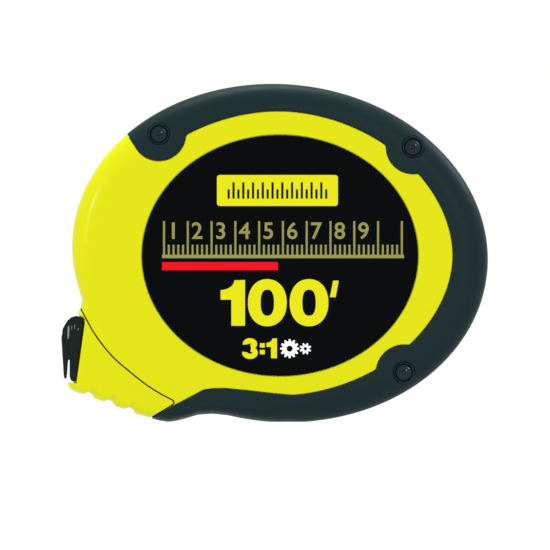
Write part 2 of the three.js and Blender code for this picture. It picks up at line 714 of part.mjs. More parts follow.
// Crank and gears
const crank = subgroup(group, REEL_CENTRE);
node(crank, 'planet_carrier', planetCarrier(), steel);
for (let k = 0; k < PLANET_COUNT; k += 1) {
  const at = polar(PLANET_CIRCLE, planetAngle(k));
  const first = planetAngle(k) + planetPhase(k);
  node(crank, `planet_pin_${k + 1}`, bar(2, -4.2, 2.3, [0, 0], 16), steel, at);
  node(crank, `planet_gear_${k + 1}`, spurGear(PLANET_TEETH, GEAR_BAND, 2.25, first), naturalNylon, at);
}
node(crank, 'crank_arm', crankArm(), blackNylon);
const crankScrewProfile = [[0, 5], [1.5, 5], [1.5, 12.8], [3.6, 12.8], [3.6, 13.6], [2.4, 14.4], [0, 14.6]];
node(crank, 'crank_screw', turned(crankScrewProfile, 16), darkSteel);
node(crank, 'knob_hinge_pin', crossBar(HINGE.radius, -9.7, 9.7), steel);
node(crank, 'knob_post', knobPost(), steel);
node(crank, 'knob_end_screw', knobEndScrew(), darkSteel);
node(crank, 'knob_grip', knobGrip(), blackNylon);

// Tape and end hook
const tape = subgroup(group);
node(tape, 'tape_strip', tapeStrip(), tapeYellow);
node(tape, 'hook_body', hookBody(), blackNylon);
RIVET_OFFSETS.forEach((offset, index) => {
  node(tape, `hook_rivet_${index + 1}`, rivetBar(0.8, -1.8, 1.4, offset), steel);
});
const pinBand = hookBand(HOOK_WIDTH / 2);
node(tape, 'hook_pin', bar(HOOK_PIN_RADIUS, pinBand[0] + 1.1, pinBand[1] - 0.2, HOOK_PIN, 16), steel);
node(tape, 'hook_claw', hookClaw(), blackNylon);

export default group;
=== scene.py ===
import json
import math

import bmesh
import bpy
import numpy as np
from mathutils import Matrix, Vector


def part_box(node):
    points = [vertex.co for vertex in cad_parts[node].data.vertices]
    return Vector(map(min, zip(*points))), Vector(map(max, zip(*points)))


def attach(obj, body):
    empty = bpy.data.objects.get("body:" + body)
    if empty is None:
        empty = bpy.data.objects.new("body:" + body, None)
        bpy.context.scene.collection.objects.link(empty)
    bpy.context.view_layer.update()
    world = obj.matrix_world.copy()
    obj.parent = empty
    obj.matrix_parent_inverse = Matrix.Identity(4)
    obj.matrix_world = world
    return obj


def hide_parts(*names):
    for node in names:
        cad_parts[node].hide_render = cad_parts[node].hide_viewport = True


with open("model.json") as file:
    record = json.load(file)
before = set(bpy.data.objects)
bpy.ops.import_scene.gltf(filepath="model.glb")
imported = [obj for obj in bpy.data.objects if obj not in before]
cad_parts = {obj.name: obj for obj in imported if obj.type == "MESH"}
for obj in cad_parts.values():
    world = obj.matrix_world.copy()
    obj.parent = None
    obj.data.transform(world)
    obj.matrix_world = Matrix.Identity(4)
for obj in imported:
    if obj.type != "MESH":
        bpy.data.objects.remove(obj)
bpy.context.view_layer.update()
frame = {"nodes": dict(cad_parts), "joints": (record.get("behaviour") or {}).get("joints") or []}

# ---------------------------------------------------------------- dimensions, in millimetres
MM = 0.001
JOINTS = {joint["name"]: joint for joint in frame["joints"]}


def plan(point):
    """The x and z of a point in metres, as millimetres."""
    return np.array([point[0], point[2]]) / MM


def middle(node):
    low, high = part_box(node)
    return plan((low + high) / 2)


def span(node, axis):
    """The lowest and highest coordinate of a node along an axis."""
    low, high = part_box(node)
    return low[axis] / MM, high[axis] / MM


# Case, as in the part: a tilted oval with a nose, parted at y = 0
GAP = 0.3
PARTING = 0.15
HALF_DEPTH = span("back_shell", 1)[1]
CENTRE = np.array([2.34, 69.3])
CASE_SEMI = (85.5, 69.4)
TILT = math.radians(-5)
OVAL_START, OVAL_END = math.radians(-100.5), math.radians(201.8)
BAND, EDGE, NOSE_EDGE = 14.0, 11.0, 4.0
EDGE_STEPS = 14
NOSE = [(-79.7, 46.7), (-80.8, 44.1), (-83.6, 38.5), (-85.7, 30), (-85.2, 17), (-85, 15.2), (-83.7, 13.1),
        (-80.9, 11.9)]
SCALLOP = [(-2.05, -0.82), (0, 0), (1.64, -1.03), (2.05, -2.46)]
SCALLOP_FIRST, SCALLOP_PITCH = (-59.55, 5.95), (-8.4, 3.08)
OUTLINE_STEP, OUTLINE_SOFTNESS, EDGE_FADE = 0.45, 0.5, math.radians(30)
TOE = [(-50.9, 1.6), (-47.7, 0.6), (-43.6, 0), (-40.3, 0.4), (-36.2, 1.4), (-31.3, 2.9), (-25.5, 3.3)]
RUBBER = 1.5
FIELD_CENTRE, FIELD_SEMI = np.array([1.9, 69.15]), (71.3, 58.3)
FIELD_TILT, FIELD_FULLNESS = math.radians(-1.5), 1.9
GRIP_START, GRIP_END = 150, -83.6
GRIP_TOP_END = [(-71.6, 135), (-64, 123.4), (-60.4, 117.9), (-56.3, 111.7)]
GRIP_LOW_EDGE = [(6.5, 11.5), (-1.7, 11.9), (-9.9, 12.9), (-20.2, 13.9), (-25.5, 13.8), (-29.2, 13.2),
                 (-34.5, 10.3), (-40.7, 7.1), (-46.8, 3.8), (-50.1, 1.8), (-56, -2)]
LOBES = (11.1, 11.1, 11.5)
SCREWS = [middle(f"case_screw_{k}") for k in (1, 2, 3)]
SCREW_WELL, SCREW_WELL_FLOOR, SCREW_WELL_PLAY = 4.5, -18.5, 0.4
SEAM = [(-83.1, 54.2), (-79.5, 46.8), (-77.2, 42.4), (-74.6, 37.6), (-72.3, 34.2), (-69, 29.8), (-66.1, 26.6),
        (-63.2, 23.9), (-59.8, 21.1), (-56.4, 18.3), (-52.9, 15.6), (-49.5, 13.3), (-46, 11.2), (-43.2, 9.8),
        (-41.3, 8.8), (-40.9, 8.1), (-41.4, 7.2), (-46.8, 4), (-50.1, 2), (-56, -1.8)]
SEAM_HALF_WIDTH = 0.28
SHADE_STRIP_DEPTH, SHADE_STRIP_PLAY = 0.6, 0.05
FACE_ROUND, SEAM_ROUND, RUBBER_ROUND, WELL_ROUND = 0.3, 0.15, 0.7, 0.5
LINE_STEP, LINE_SOFTNESS = 0.35, 0.55
NOTCH = [(-95, 49.6), (-78.4, 43.2), (-77.75, 42.2), (-77.7, 40.4), (-81.1, 15.9), (-95, 15.9)]
REAR_NOTCH = [(-95, 49.6), (-80.6, 44.05), (-79.9, 42.8), (-79.6, 40.4), (-82.6, 15.9), (-95, 15.9)]
CAVITY_SEMI, CAVITY_BAND, CAVITY_FACE, CAVITY_EDGE = (80.6, 64.7), 11.0, 19.0, 7.0
CAVITY_STEPS = 6
REEL = plan(JOINTS["reel_spin"]["pos_m"])
DISH_RADIUS, DISH_WALL, DISH_FLOOR = 46.0, 2.2, (3.2, 5.6)
DISH_FILLET, DISH_FLARE = 2.0, 1.0
GROOVE = [(15, 5), (17, 5), (17, 9), (15, 9), (15, 5)]
BUSH_SEAT, BUSH_BORE = 10.5, 8.5
SCREW_BOSS, SCREW_HOLE, SCREW_PILOT, PILOT_DEPTH = 6, 1.9, 1.4, 13
RING_SCREW_HOLE, RING_SCREW_DEPTH = 1.2, 5.2
AXLE_HOLE, AXLE_HEAD, AXLE_HEAD_FLOOR = 3.8, 6.3, -20.1
LABEL = middle("label_disc")
LABEL_SEMI = (np.ptp(span("label_disc", 0)) / 2, np.ptp(span("label_disc", 2)) / 2)
LABEL_FACE, LABEL_BACK = span("label_disc", 1)
LABEL_PLAY = 0.2

# The tape's way through the mouth, and the room for the hook in front of it
TAPE_AXIS = np.array([JOINTS["tape_slide"]["axis"][0], JOINTS["tape_slide"]["axis"][2]])
STRIP_LOW, STRIP_HIGH = span("tape_strip", 1)
TAPE_MIDDLE = (STRIP_LOW + STRIP_HIGH) / 2
MOUTH = np.array([-78, 39.8])
SLOT_OUTWARDS, SLOT_INWARDS, SLOT_HEIGHT, SLOT_PLAY = 14, 24, 1.8, 0.9
HOOK_WIDTH = np.ptp(span("hook_body", 1))
HOOK_PLAY = 0.5
FAR = 160.0


# ---------------------------------------------------------------- lines
def oval(centre, semi, tilt, angles, fullness=2.0):
    c, s = np.cos(angles), np.sin(angles)
    u = semi[0] * np.sign(c) * np.abs(c) ** (2 / fullness)
    v = semi[1] * np.sign(s) * np.abs(s) ** (2 / fullness)
    x = centre[0] + u * math.cos(tilt) - v * math.sin(tilt)
    z = centre[1] + u * math.sin(tilt) + v * math.cos(tilt)
    return np.column_stack([x, z])


def around(count):
    return np.linspace(0, 2 * math.pi, count, endpoint=False)


def resampled(points, step):
    points = np.asarray(points, float)
    run = np.concatenate([[0], np.cumsum(np.linalg.norm(np.diff(points, axis=0), axis=1))])
    count = max(2, int(round(run[-1] / step)) + 1)
    places = np.linspace(0, run[-1], count)
    return np.column_stack([np.interp(places, run, points[:, k]) for k in (0, 1)])


def bell(step, radius):
    """The weights of a bell curve for points a step apart, and how many it reaches each way."""
    reach = int(math.ceil(3 * radius / step))
    weights = np.exp(-0.5 * (np.arange(-reach, reach + 1) * step / radius) ** 2)
    return reach, weights / weights.sum()


def weighted(padded, weights):
    return np.column_stack([np.convolve(padded[:, k], weights, mode="valid") for k in (0, 1)])


def softened(points, step, radius):
    """The line with its corners rounded to about the radius, its ends kept."""
    line = resampled(points, step)
    reach, weights = bell(step, radius)
    before = 2 * line[0] - line[reach:0:-1]
    after = 2 * line[-1] - line[-2:-reach - 2:-1]
    return weighted(np.vstack([before, line, after]), weights)


def closed_soft(points, step, radius):
    """A closed outline with its corners rounded."""
    points = np.asarray(points, float)
    line = resampled(np.vstack([points, points[:1]]), step)[:-1]
    reach, weights = bell(step, radius)
    return weighted(np.vstack([line[-reach:], line, line[:reach]]), weights)


def arc(centre, radius, start, end, steps):
    turns = np.radians(np.linspace(start, end, steps))
    return [(centre[0] + radius * math.cos(a), centre[1] + radius * math.sin(a)) for a in turns]


def left_normals(line, closed=False):
    ahead = np.roll(line, -1, axis=0) - np.roll(line, 1, axis=0)
    if not closed:
        ahead[0], ahead[-1] = line[1] - line[0], line[-1] - line[-2]
    ahead /= np.linalg.norm(ahead, axis=1, keepdims=True)
    return np.column_stack([-ahead[:, 1], ahead[:, 0]])


def offset(line, distance):
    """The line moved to its left by the distance."""
    return line + distance * left_normals(line)


def case_outline():
    """The outline anticlockwise from the front, with the edge rounding at each point."""
    start = oval(CENTRE, CASE_SEMI, TILT, np.array([OVAL_END, OVAL_START]))
    low = [start[0], *NOSE]
    for k in (2, 1, 0):
        notch = np.add(SCALLOP_FIRST, np.multiply(k, SCALLOP_PITCH))
        low += [notch + point for point in SCALLOP]
    low += [*TOE, start[1]]
    low = softened(low, OUTLINE_STEP, OUTLINE_SOFTNESS)
    angles = np.linspace(OVAL_START, OVAL_END, 420)[1:-1]
    high = oval(CENTRE, CASE_SEMI, TILT, angles)
    high[:, 1] = np.maximum(high[:, 1], 0)
    rise = np.clip((angles - OVAL_START) / EDGE_FADE, 0, 1)
    fall = np.clip((OVAL_END - angles) / EDGE_FADE, 0, 1)
    share = np.minimum(rise, fall)
    share = share * share * (3 - 2 * share)
    edges = np.concatenate([np.full(len(low), NOSE_EDGE), NOSE_EDGE + (EDGE - NOSE_EDGE) * share])
    return np.vstack([low, high]), edges


OUTLINE, EDGES = case_outline()
TO_OUTLINE = OUTLINE - CENTRE
OUTLINE_RADIUS = np.linalg.norm(TO_OUTLINE, axis=1)
OUTLINE_ANGLE = np.arctan2(TO_OUTLINE[:, 1], TO_OUTLINE[:, 0])


def surface_depth(points):
    """How far the case's outer face lies from the parting plane above each point."""
    away = np.asarray(points, float) - CENTRE
    angle = np.arctan2(away[:, 1], away[:, 0])
    order = np.argsort(OUTLINE_ANGLE)
    radius = np.interp(angle, OUTLINE_ANGLE[order], OUTLINE_RADIUS[order], period=2 * math.pi)
    edge = np.interp(angle, OUTLINE_ANGLE[order], EDGES[order], period=2 * math.pi)
    inside = np.clip((radius - np.linalg.norm(away, axis=1)) / edge, 0, 1)
    return BAND + (HALF_DEPTH - BAND) * np.sqrt(1 - (1 - inside) ** 2)


def grip_edge():
    """Where the rubber meets the yellow: clockwise from the top left to the toe."""
    angles = np.radians(np.linspace(GRIP_START, GRIP_END, 900))
    inner = oval(FIELD_CENTRE, FIELD_SEMI, FIELD_TILT, angles, FIELD_FULLNESS)
    line = [np.array(point) for point in GRIP_TOP_END]
    passed = 0
    for centre, radius in zip(SCREWS, LOBES):
        inside = np.flatnonzero(np.linalg.norm(inner - centre, axis=1) < radius)
        if passed:
            line += list(inner[passed:inside[0]])
        first = line[-1]
        last = inner[inside[-1] + 1]
        facing = math.atan2(*(CENTRE - centre)[::-1])
        turns = []
        for point in (first, last):
            angle = math.atan2(*(point - centre)[::-1]) - facing
            turns.append((angle + math.pi) % (2 * math.pi) - math.pi)
        for turn in np.linspace(*turns, 60)[1:-1]:
            line.append(centre + radius * np.array([math.cos(facing + turn), math.sin(facing + turn)]))
        passed = inside[-1] + 1
    line += list(inner[passed:])
    line += [np.array(point) for point in GRIP_LOW_EDGE[1:]]
    return softened(line, LINE_STEP, LINE_SOFTNESS)


GRIP_EDGE = grip_edge()
SEAM_LINE = softened(SEAM, LINE_STEP, LINE_SOFTNESS)


# ---------------------------------------------------------------- meshes
def piece(name, points, faces):
    """A mesh object from points in millimetres, its faces turned outwards."""
    mesh = bpy.data.meshes.new(name)
    mesh.from_pydata((np.asarray(points, float) * MM).tolist(), [], faces)
    obj = bpy.data.objects.new(name, mesh)
    bpy.context.scene.collection.objects.link(obj)
    with_bmesh(obj, lambda bm: bmesh.ops.recalc_face_normals(bm, faces=bm.faces))
    return obj


def with_bmesh(obj, work):
    bm = bmesh.new()
    bm.from_mesh(obj.data)
    work(bm)
    bm.to_mesh(obj.data)
    bm.free()


def skin_faces(levels, count, closed_levels=False):
    """Quads over rings of count points, with end faces unless the levels close on themselves."""
    faces = []
    for level in range(levels if closed_levels else levels - 1):
        a, b = level * count, ((level + 1) % levels) * count
        for i in range(count):
            j = (i + 1) % count
            faces.append((a + i, a + j, b + j, b + i))
    if not closed_levels:
        faces.append(tuple(range(count)))
        faces.append(tuple((levels - 1) * count + i for i in range(count)))
    return faces


def rings_piece(name, rings):
    """A closed skin through rings of points in x, y and z."""
    return piece(name, np.vstack(rings), skin_faces(len(rings), len(rings[0])))


def at_depth(points, y):
    points = np.asarray(points, float)
    depth = np.broadcast_to(y, (len(points),))
    return np.column_stack([points[:, 0], depth, points[:, 1]])


def prism(name, points, y0, y1):
    return rings_piece(name, [at_depth(points, y0), at_depth(points, y1)])


def turned(name, profile, centre, sides=96):
    """A profile of (radius, y) points, from axis to axis or closed, turned about y."""
    closed = profile[0][0] > 0
    angles = around(sides)
    points, faces, rows = [], [], []
    for radius, y in profile[:-1] if closed else profile:
        if radius < 1e-9:
            rows.append([len(points)])
            points.append((centre[0], y, centre[1]))
            continue
        rows.append(list(range(len(points), len(points) + sides)))
        x = centre[0] + radius * np.cos(angles)
        z = centre[1] + radius * np.sin(angles)
        points += list(zip(x, np.full(sides, y), z))
    following = rows[1:] + rows[:1] if closed else rows[1:]
    for low, high in zip(rows, following):
        for i in range(sides):
            j = (i + 1) % sides
            corners = [low[i % len(low)], low[j % len(low)], high[j % len(high)], high[i % len(high)]]
            face = tuple(dict.fromkeys(corners))
            if len(face) > 2:
                faces.append(face)
    return piece(name, points, faces)


def settle(obj):
    """Applies the object's modifiers to its mesh."""
    bpy.context.view_layer.update()
    evaluated = obj.evaluated_get(bpy.context.evaluated_depsgraph_get())
    mesh = bpy.data.meshes.new_from_object(evaluated)
    obj.modifiers.clear()
    obj.data = mesh
    return obj


def combine(obj, tool, operation):
    """Cuts, joins or trims obj with tool, which is then gone."""
    modifier = obj.modifiers.new("combine", "BOOLEAN")
    modifier.operation = operation
    modifier.solver = "MANIFOLD"
    modifier.object = tool
    settle(obj)
    bpy.data.objects.remove(tool)
    return obj


def cut(obj, *tools):
    for tool in tools:
        combine(obj, tool, "DIFFERENCE")
    return obj


def join(obj, *tools):
    for tool in tools:
        combine(obj, tool, "UNION")
    return obj


def trim(obj, tool):
    return combine(obj, tool, "INTERSECT")


def copied(obj):
    twin = bpy.data.objects.new(obj.name, obj.data.copy())
    bpy.context.scene.collection.objects.link(twin)
    return twin


def mirrored(obj):
    """The object with its depth turned round, for the crank side."""
    obj.data.transform(Matrix.Scale(-1, 4, (0, 1, 0)))
    obj.data.flip_normals()
    return obj


def rounded(obj, width=0.4, segments=3, angle=40):
    modifier = obj.modifiers.new("edges", "BEVEL")
    modifier.width = width * MM
    modifier.segments = segments
    modifier.angle_limit = math.radians(angle)
    modifier.limit_method = "ANGLE"
    return settle(obj)


def smooth(obj, angle=32):
    """Smooth shading that keeps sharp edges sharp and flat faces flat."""
    mesh = obj.data
    mesh.shade_smooth()
    mesh.set_sharp_from_angle(angle=math.radians(angle))
    modifier = obj.modifiers.new("normals", "WEIGHTED_NORMAL")
    modifier.keep_sharp = True
    modifier.weight = 80
    return settle(obj)


def round_over(line, radius, closed=False, back=False):
    """A cutter that rounds the case's face edge along a line, the material on its left."""
    outside, above = -0.25, -0.6
    corner = arc((radius, radius), radius, 270, 180, 6)
    section = [(radius, above), *corner, (outside, radius), (outside, above)]
    normals = left_normals(line, closed)
    rings = []
    for across, down in section:
        points = line + across * normals
        rings.append(at_depth(points, -surface_depth(points) + down))
    rings = np.stack(rings, axis=1)
    levels, count = rings.shape[0], rings.shape[1]
    tool = piece("tool", rings.reshape(-1, 3), skin_faces(levels, count, closed_levels=closed))
    return mirrored(tool) if back else tool


# ---------------------------------------------------------------- case shapes
def drawn_in(inset, angle):
    """The outline drawn in by the inset, at an angle round the case's rounded edge."""
    distance = inset + (EDGES - inset) * (1 - math.cos(angle))
    scale = 1 - distance / OUTLINE_RADIUS
    return CENTRE + TO_OUTLINE * scale[:, None]


def case_half(inset, end=-PARTING):
    """The label-side half of the case's body, its skin drawn in by the inset."""
    rings = []
    for step in range(EDGE_STEPS, -1, -1):
        angle = math.pi / 2 * step / EDGE_STEPS
        y = -(BAND + (HALF_DEPTH - BAND - inset) * math.sin(angle))
        rings.append(at_depth(drawn_in(inset, angle), y))
    rings.append(at_depth(drawn_in(inset, 0), end))
    return rings_piece("half", rings)


def case_whole():
    """Both halves of the case's body in one skin."""
    rings = []
    for side in (-1, 1):
        for step in range(EDGE_STEPS + 1):
            angle = math.pi / 2 * (EDGE_STEPS - step if side < 0 else step) / EDGE_STEPS
            y = side * (BAND + (HALF_DEPTH - BAND) * math.sin(angle))
            rings.append(at_depth(drawn_in(0, angle), y))
    return rings_piece("whole", rings)


def cavity_half():
    """The label-side half of the room inside the case."""
    rings = []
    for step in range(CAVITY_STEPS, -1, -1):
        angle = math.pi / 2 * step / CAVITY_STEPS
        less = CAVITY_EDGE * (1 - math.cos(angle))
        semi = (CAVITY_SEMI[0] - less, CAVITY_SEMI[1] - less)
        y = -(CAVITY_BAND + (CAVITY_FACE - CAVITY_BAND) * math.sin(angle))
        rings.append(at_depth(oval(CENTRE, semi, TILT, around(120)), y))
    rings.append(at_depth(rings[-1][:, [0, 2]], 1))
    return rings_piece("cavity", rings)


def bare_field(shift):
    """The part of the case that the rubber leaves bare, its edge moved outwards by the shift."""
    beyond = [(-56, -30), (-130, -30), (-130, 160), (-71.6, 160)]
    return prism("field", np.vstack([offset(GRIP_EDGE, shift), beyond]), -FAR, FAR)


def mouth_region(shift):
    """The mouthpiece's ground, its seam moved towards the case by the shift."""
    beyond = [(-56, -30), (-130, -30), (-130, 60)]
    return prism("mouth", np.vstack([offset(SEAM_LINE, shift), beyond]), -FAR, FAR)


def notch_tool():
    """The room for the hook: deep on the label side, shallower behind the hook."""
    back = TAPE_MIDDLE + HOOK_WIDTH / 2 + HOOK_PLAY
    return join(prism("notch", NOTCH, -FAR, back), prism("rear", REAR_NOTCH, back - 1, FAR))


def bar(radius, y0, y1, centre, sides=48):
    return turned("bar", [(0, y0), (radius, y0), (radius, y1), (0, y1)], centre, sides)


def tape_way(outer, inner, thickness, y0, y1):
    """A bar along the tape's way, between distances outwards and inwards of the mouth."""
    across = np.array([-TAPE_AXIS[1], TAPE_AXIS[0]]) * thickness / 2
    ends = [MOUTH + TAPE_AXIS * outer, MOUTH - TAPE_AXIS * inner]
    corners = [ends[0] - across, ends[1] - across, ends[1] + across, ends[0] + across]
    return prism("way", corners, y0, y1)


def slot_tool():
    return tape_way(SLOT_OUTWARDS, SLOT_INWARDS, SLOT_HEIGHT, STRIP_LOW - SLOT_PLAY, STRIP_HIGH + SLOT_PLAY)


def shell_half(back):
    """One yellow shell in the label side's place; the caller mirrors the crank side."""
    shell = join(trim(case_half(0), bare_field(-GAP / 2)), case_half(RUBBER + GAP))
    cavity = cavity_half()
    if back:
        cut(cavity, bar(DISH_RADIUS + DISH_WALL, -FAR, -DISH_FLOOR[0], REEL, 128))
    cut(shell, cavity)
    for centre in SCREWS:
        join(shell, trim(bar(SCREW_BOSS, -21, -PARTING, centre), case_half(RUBBER + GAP + 0.05)))
    cut(shell, mouth_region(SEAM_HALF_WIDTH), notch_tool())
    cut(shell, round_over(offset(GRIP_EDGE, -GAP / 2)[::-1], FACE_ROUND))
    cut(shell, round_over(offset(SEAM_LINE, SEAM_HALF_WIDTH), SEAM_ROUND))
    return shell


def front_shell():
    """The yellow half on the label side, with the recess for the label."""
    shell = shell_half(back=False)
    recess = oval(LABEL, (LABEL_SEMI[0] + GAP, LABEL_SEMI[1] + GAP), 0, around(240))
    cut(shell, prism("recess", recess, -FAR, LABEL_BACK + LABEL_PLAY))
    cut(shell, round_over(recess[::-1], FACE_ROUND, closed=True))
    cut(shell, slot_tool())
    cut(shell, bar(AXLE_HOLE, -FAR, 0, REEL), bar(AXLE_HEAD, -FAR, AXLE_HEAD_FLOOR, REEL))
    for centre in SCREWS:
        cut(shell, bar(SCREW_HOLE, -FAR, 1, centre))
        cut(shell, bar(SCREW_WELL + SCREW_WELL_PLAY, -FAR, SCREW_WELL_FLOOR, centre))
    finish_case(shell, "case_front_shell", "front_shell", "case_yellow")


def back_shell():
    """The yellow half on the crank side, with the round well for the crank."""
    shell = mirrored(shell_half(back=True))
    fillet = arc((DISH_RADIUS - DISH_FILLET, DISH_FLOOR[1] + DISH_FILLET), DISH_FILLET, -90, 0, 8)
    flare = arc((DISH_RADIUS + DISH_FLARE, HALF_DEPTH - DISH_FLARE), DISH_FLARE, 180, 90, 7)
    rim, above = DISH_RADIUS + DISH_FLARE, HALF_DEPTH + 8
    well = [(0, DISH_FLOOR[1]), *fillet, *flare, (rim, above), (0, above)]
    cut(shell, turned("well", well, REEL, 192))
    cut(shell, turned("groove", GROOVE, REEL, 96))
    cut(shell, bar(BUSH_SEAT, 5, FAR, REEL, 96), bar(BUSH_BORE, 0, FAR, REEL, 64))
    for centre in SCREWS:
        cut(shell, bar(SCREW_PILOT, -1, PILOT_DEPTH, centre))
    for k in (1, 2, 3):
        cut(shell, bar(RING_SCREW_HOLE, 0, RING_SCREW_DEPTH, middle(f"ring_gear_screw_{k}"), 24))
    finish_case(shell, "case_back_shell", "back_shell", "case_yellow")


def grip(back):
    """The rubber round one half of the case."""
    rubber = cut(case_half(0), bare_field(GAP / 2), case_half(RUBBER, 1))
    cut(rubber, round_over(offset(GRIP_EDGE, GAP / 2), RUBBER_ROUND))
    if back:
        finish_case(mirrored(rubber), "rubber_grip_back", "grip_back", "grip_rubber")
        return
    for centre in SCREWS:
        well = centre + SCREW_WELL * np.column_stack([np.cos(around(96)), np.sin(around(96))])
        cut(rubber, prism("well", well, -FAR, 0), round_over(well[::-1], WELL_ROUND, closed=True))
    finish_case(rubber, "rubber_grip_front", "grip_front", "grip_rubber")


def mouthpiece():
    """The yellow nose that the tape comes out of."""
    mouth = trim(case_whole(), mouth_region(-SEAM_HALF_WIDTH))
    cut(mouth, notch_tool(), slot_tool())
    for back in (False, True):
        cut(mouth, round_over(offset(SEAM_LINE, -SEAM_HALF_WIDTH)[::-1], SEAM_ROUND, back=back))
    finish_case(mouth, "mouthpiece", "nose_insert", "case_yellow")


def seam_seal():
    """A near-black strip that fills the seam between the case and the mouthpiece, a little below the surface;
    its colour is painted shade, standing for the shadow in the seam's narrow gap.
    """
    half_width = SEAM_HALF_WIDTH - SHADE_STRIP_PLAY
    shade_strip = trim(case_half(SHADE_STRIP_DEPTH, 0), mouth_region(half_width))
    cut(shade_strip, mouth_region(-half_width), notch_tool(), slot_tool())
    join(shade_strip, mirrored(copied(shade_strip)))
    # The label's near-black finish on the strip is painted shade in the seam.
    placed(smooth(shade_strip), "seam_seal", "label_black", "case")


def placed(obj, name, slot, body, *nodes):
    """Names a piece, gives it its material and its body, and hides the nodes that it replaces."""
    obj.name = name
    obj.data.name = name
    obj.data.materials.clear()
    obj.data.materials.append(MATERIALS[slot])
    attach(obj, body)
    if nodes:
        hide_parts(*nodes)


def finish_case(obj, name, node, slot):
    """Merges the slivers that the cuts leave, then places a piece of the case."""
    with_bmesh(obj, lambda bm: bmesh.ops.remove_doubles(bm, verts=bm.verts, dist=2e-6))
    placed(smooth(obj), name, slot, "case", node)


# ---------------------------------------------------------------- small pieces
# Profiles of a screw and of the rubber collar round its head, as (radius, y)
SCREW = [(0, -20.9), (0.45, -20.84), (0.75, -20.66), (0.9, -20.42), (1.05, -20.34), (2.2, -20.3),
         (3.05, -20.22), (3.35, -20.05), (3.5, -19.8), (3.5, -18.6), (1.6, -18.6), (1.6, -0.8), (1.1, -0.3),
         (1.1, 11.6), (0, 12.4)]
WELL_LINER = [(3.53, -18.6), (4.8, -18.6), (4.8, -20.05), (4.4, -20.1), (4.4, -20.9), (4.32, -21.1),
              (4.15, -21.18), (3.85, -21.05), (3.6, -20.7), (3.53, -20.4), (3.53, -18.6)]


def case_screw(k, centre):
    """A screw through the case and the rubber collar round its head."""
    screw = turned("screw", SCREW, centre, 64)
    placed(smooth(screw, 40), f"case_screw_{k}_black", "dark_steel", "case", f"case_screw_{k}")
    liner = turned("liner", WELL_LINER, centre, 64)
    placed(smooth(liner, 40), f"screw_well_{k}", "grip_rubber", "case")


def label_plate():
    """The label's black oval plate."""
    rings = []
    edge = 0.1
    for less, y in ((0, LABEL_BACK), (0, LABEL_FACE + edge), (edge, LABEL_FACE)):
        semi = (LABEL_SEMI[0] - less, LABEL_SEMI[1] - less)
        rings.append(at_depth(oval(LABEL, semi, 0, around(288)), y))
    placed(smooth(rings_piece("label", rings)), "label_plate", "label_black", "case", "label_disc")


# ---------------------------------------------------------------- printing on the label
PRINT_HEIGHT, MARK_HEIGHT = 0.05, 0.09
BADGE, BADGE_CORNER = (-23.5, 26.1, 88.6, 101.3), 1.2
BADGE_FIRST, BADGE_LAST, BADGE_COUNT = -18.7, 21.3, 21
BADGE_MARK, BADGE_MARK_LOW, BADGE_MARK_TOPS = 0.9, 91.6, (95.4, 98.3)
ZERO_LEFTS, ZERO_WIDTH, ZERO_ROW, ZERO_STROKES = (-10.8, 6.3), 15.9, (39.3, 58.6), (5.2, 4.3)
PRIME = [(22.8, 51.2), (25.2, 51.2), (26.4, 58), (24.15, 58)]
COLON_LEFT, COLON_RIGHT, COLON_DOT, COLON_LOWS = -5.9, -3.9, 1.8, (30.55, 27.8)
RULE_ENDS, RULE_LOW, RULE_LINE = (-46, 53.2), 67.2, 68.6
RULE_FIRST, RULE_PITCH, RULE_COUNT = -45.2, 1.95, 51
RULE_MARK, RULE_SHORT, RULE_TALL = 0.8, 5.5, 15.2
FIGURE_BASE, FIGURE_HEIGHT, FIGURE_SHIFT = 75.2, 7.0, 1.4
FONT_SHARE, FONT_BOLDNESS = 0.73, 0.1


def plates(name, shapes, slot, lift=PRINT_HEIGHT):
    """Flat printed shapes: each one an outline, or a pair of outlines for a shape with a hole."""
    points, faces = [], []
    low, high = LABEL_FACE - lift, LABEL_FACE
    for shape in shapes:
        base = len(points)
        if isinstance(shape, tuple):
            outer, inner = shape
            loops = [at_depth(outer, low), at_depth(outer, high), at_depth(inner, high), at_depth(inner, low)]
            flat = skin_faces(4, len(outer), closed_levels=True)
        else:
            loops = [at_depth(shape, low), at_depth(shape, high)]
            flat = skin_faces(2, len(shape))
        points += list(np.vstack(loops))
        faces += [tuple(base + i for i in face) for face in flat]
    placed(piece(name, points, faces), name, slot, "case")


def rounded_box(x0, x1, z0, z1, radius, steps=8):
    corners = [(x1 - radius, z1 - radius, 0), (x0 + radius, z1 - radius, 90), (x0 + radius, z0 + radius, 180),
               (x1 - radius, z0 + radius, 270)]
    points = []
    for x, z, turn in corners:
        for a in np.radians(np.linspace(turn, turn + 90, steps)):
            points.append((x + radius * math.cos(a), z + radius * math.sin(a)))
    return np.array(points)


def box_shape(x0, x1, z0, z1):
    return np.array([(x0, z0), (x1, z0), (x1, z1), (x0, z1)])


def zero(x0, x1, z0, z1, stem, bar_height):
    """A figure 0: its outline and its hole."""
    centre, semi = ((x0 + x1) / 2, (z0 + z1) / 2), ((x1 - x0) / 2, (z1 - z0) / 2)
    outer = oval(centre, semi, 0, around(96), 2.15)
    inner = oval(centre, (semi[0] - stem, semi[1] - bar_height), 0, around(96), 2.5)
    return outer, inner


def one(x0, x1, z0, z1, stem):
    """A figure 1 with a curved flag."""
    height = z1 - z0
    reach, drop = x1 - 0.78 * stem - x0, 0.22 * height
    notch = z1 - 0.43 * height
    points = [(x1, z1), (x1, z0), (x1 - stem, z0), (x1 - stem, notch), (x0, notch)]
    for turn in np.radians(np.linspace(0, 88, 10)):
        points.append((x0 + reach * math.sin(turn), z1 - drop * math.cos(turn)))
    return np.array(points)[::-1]


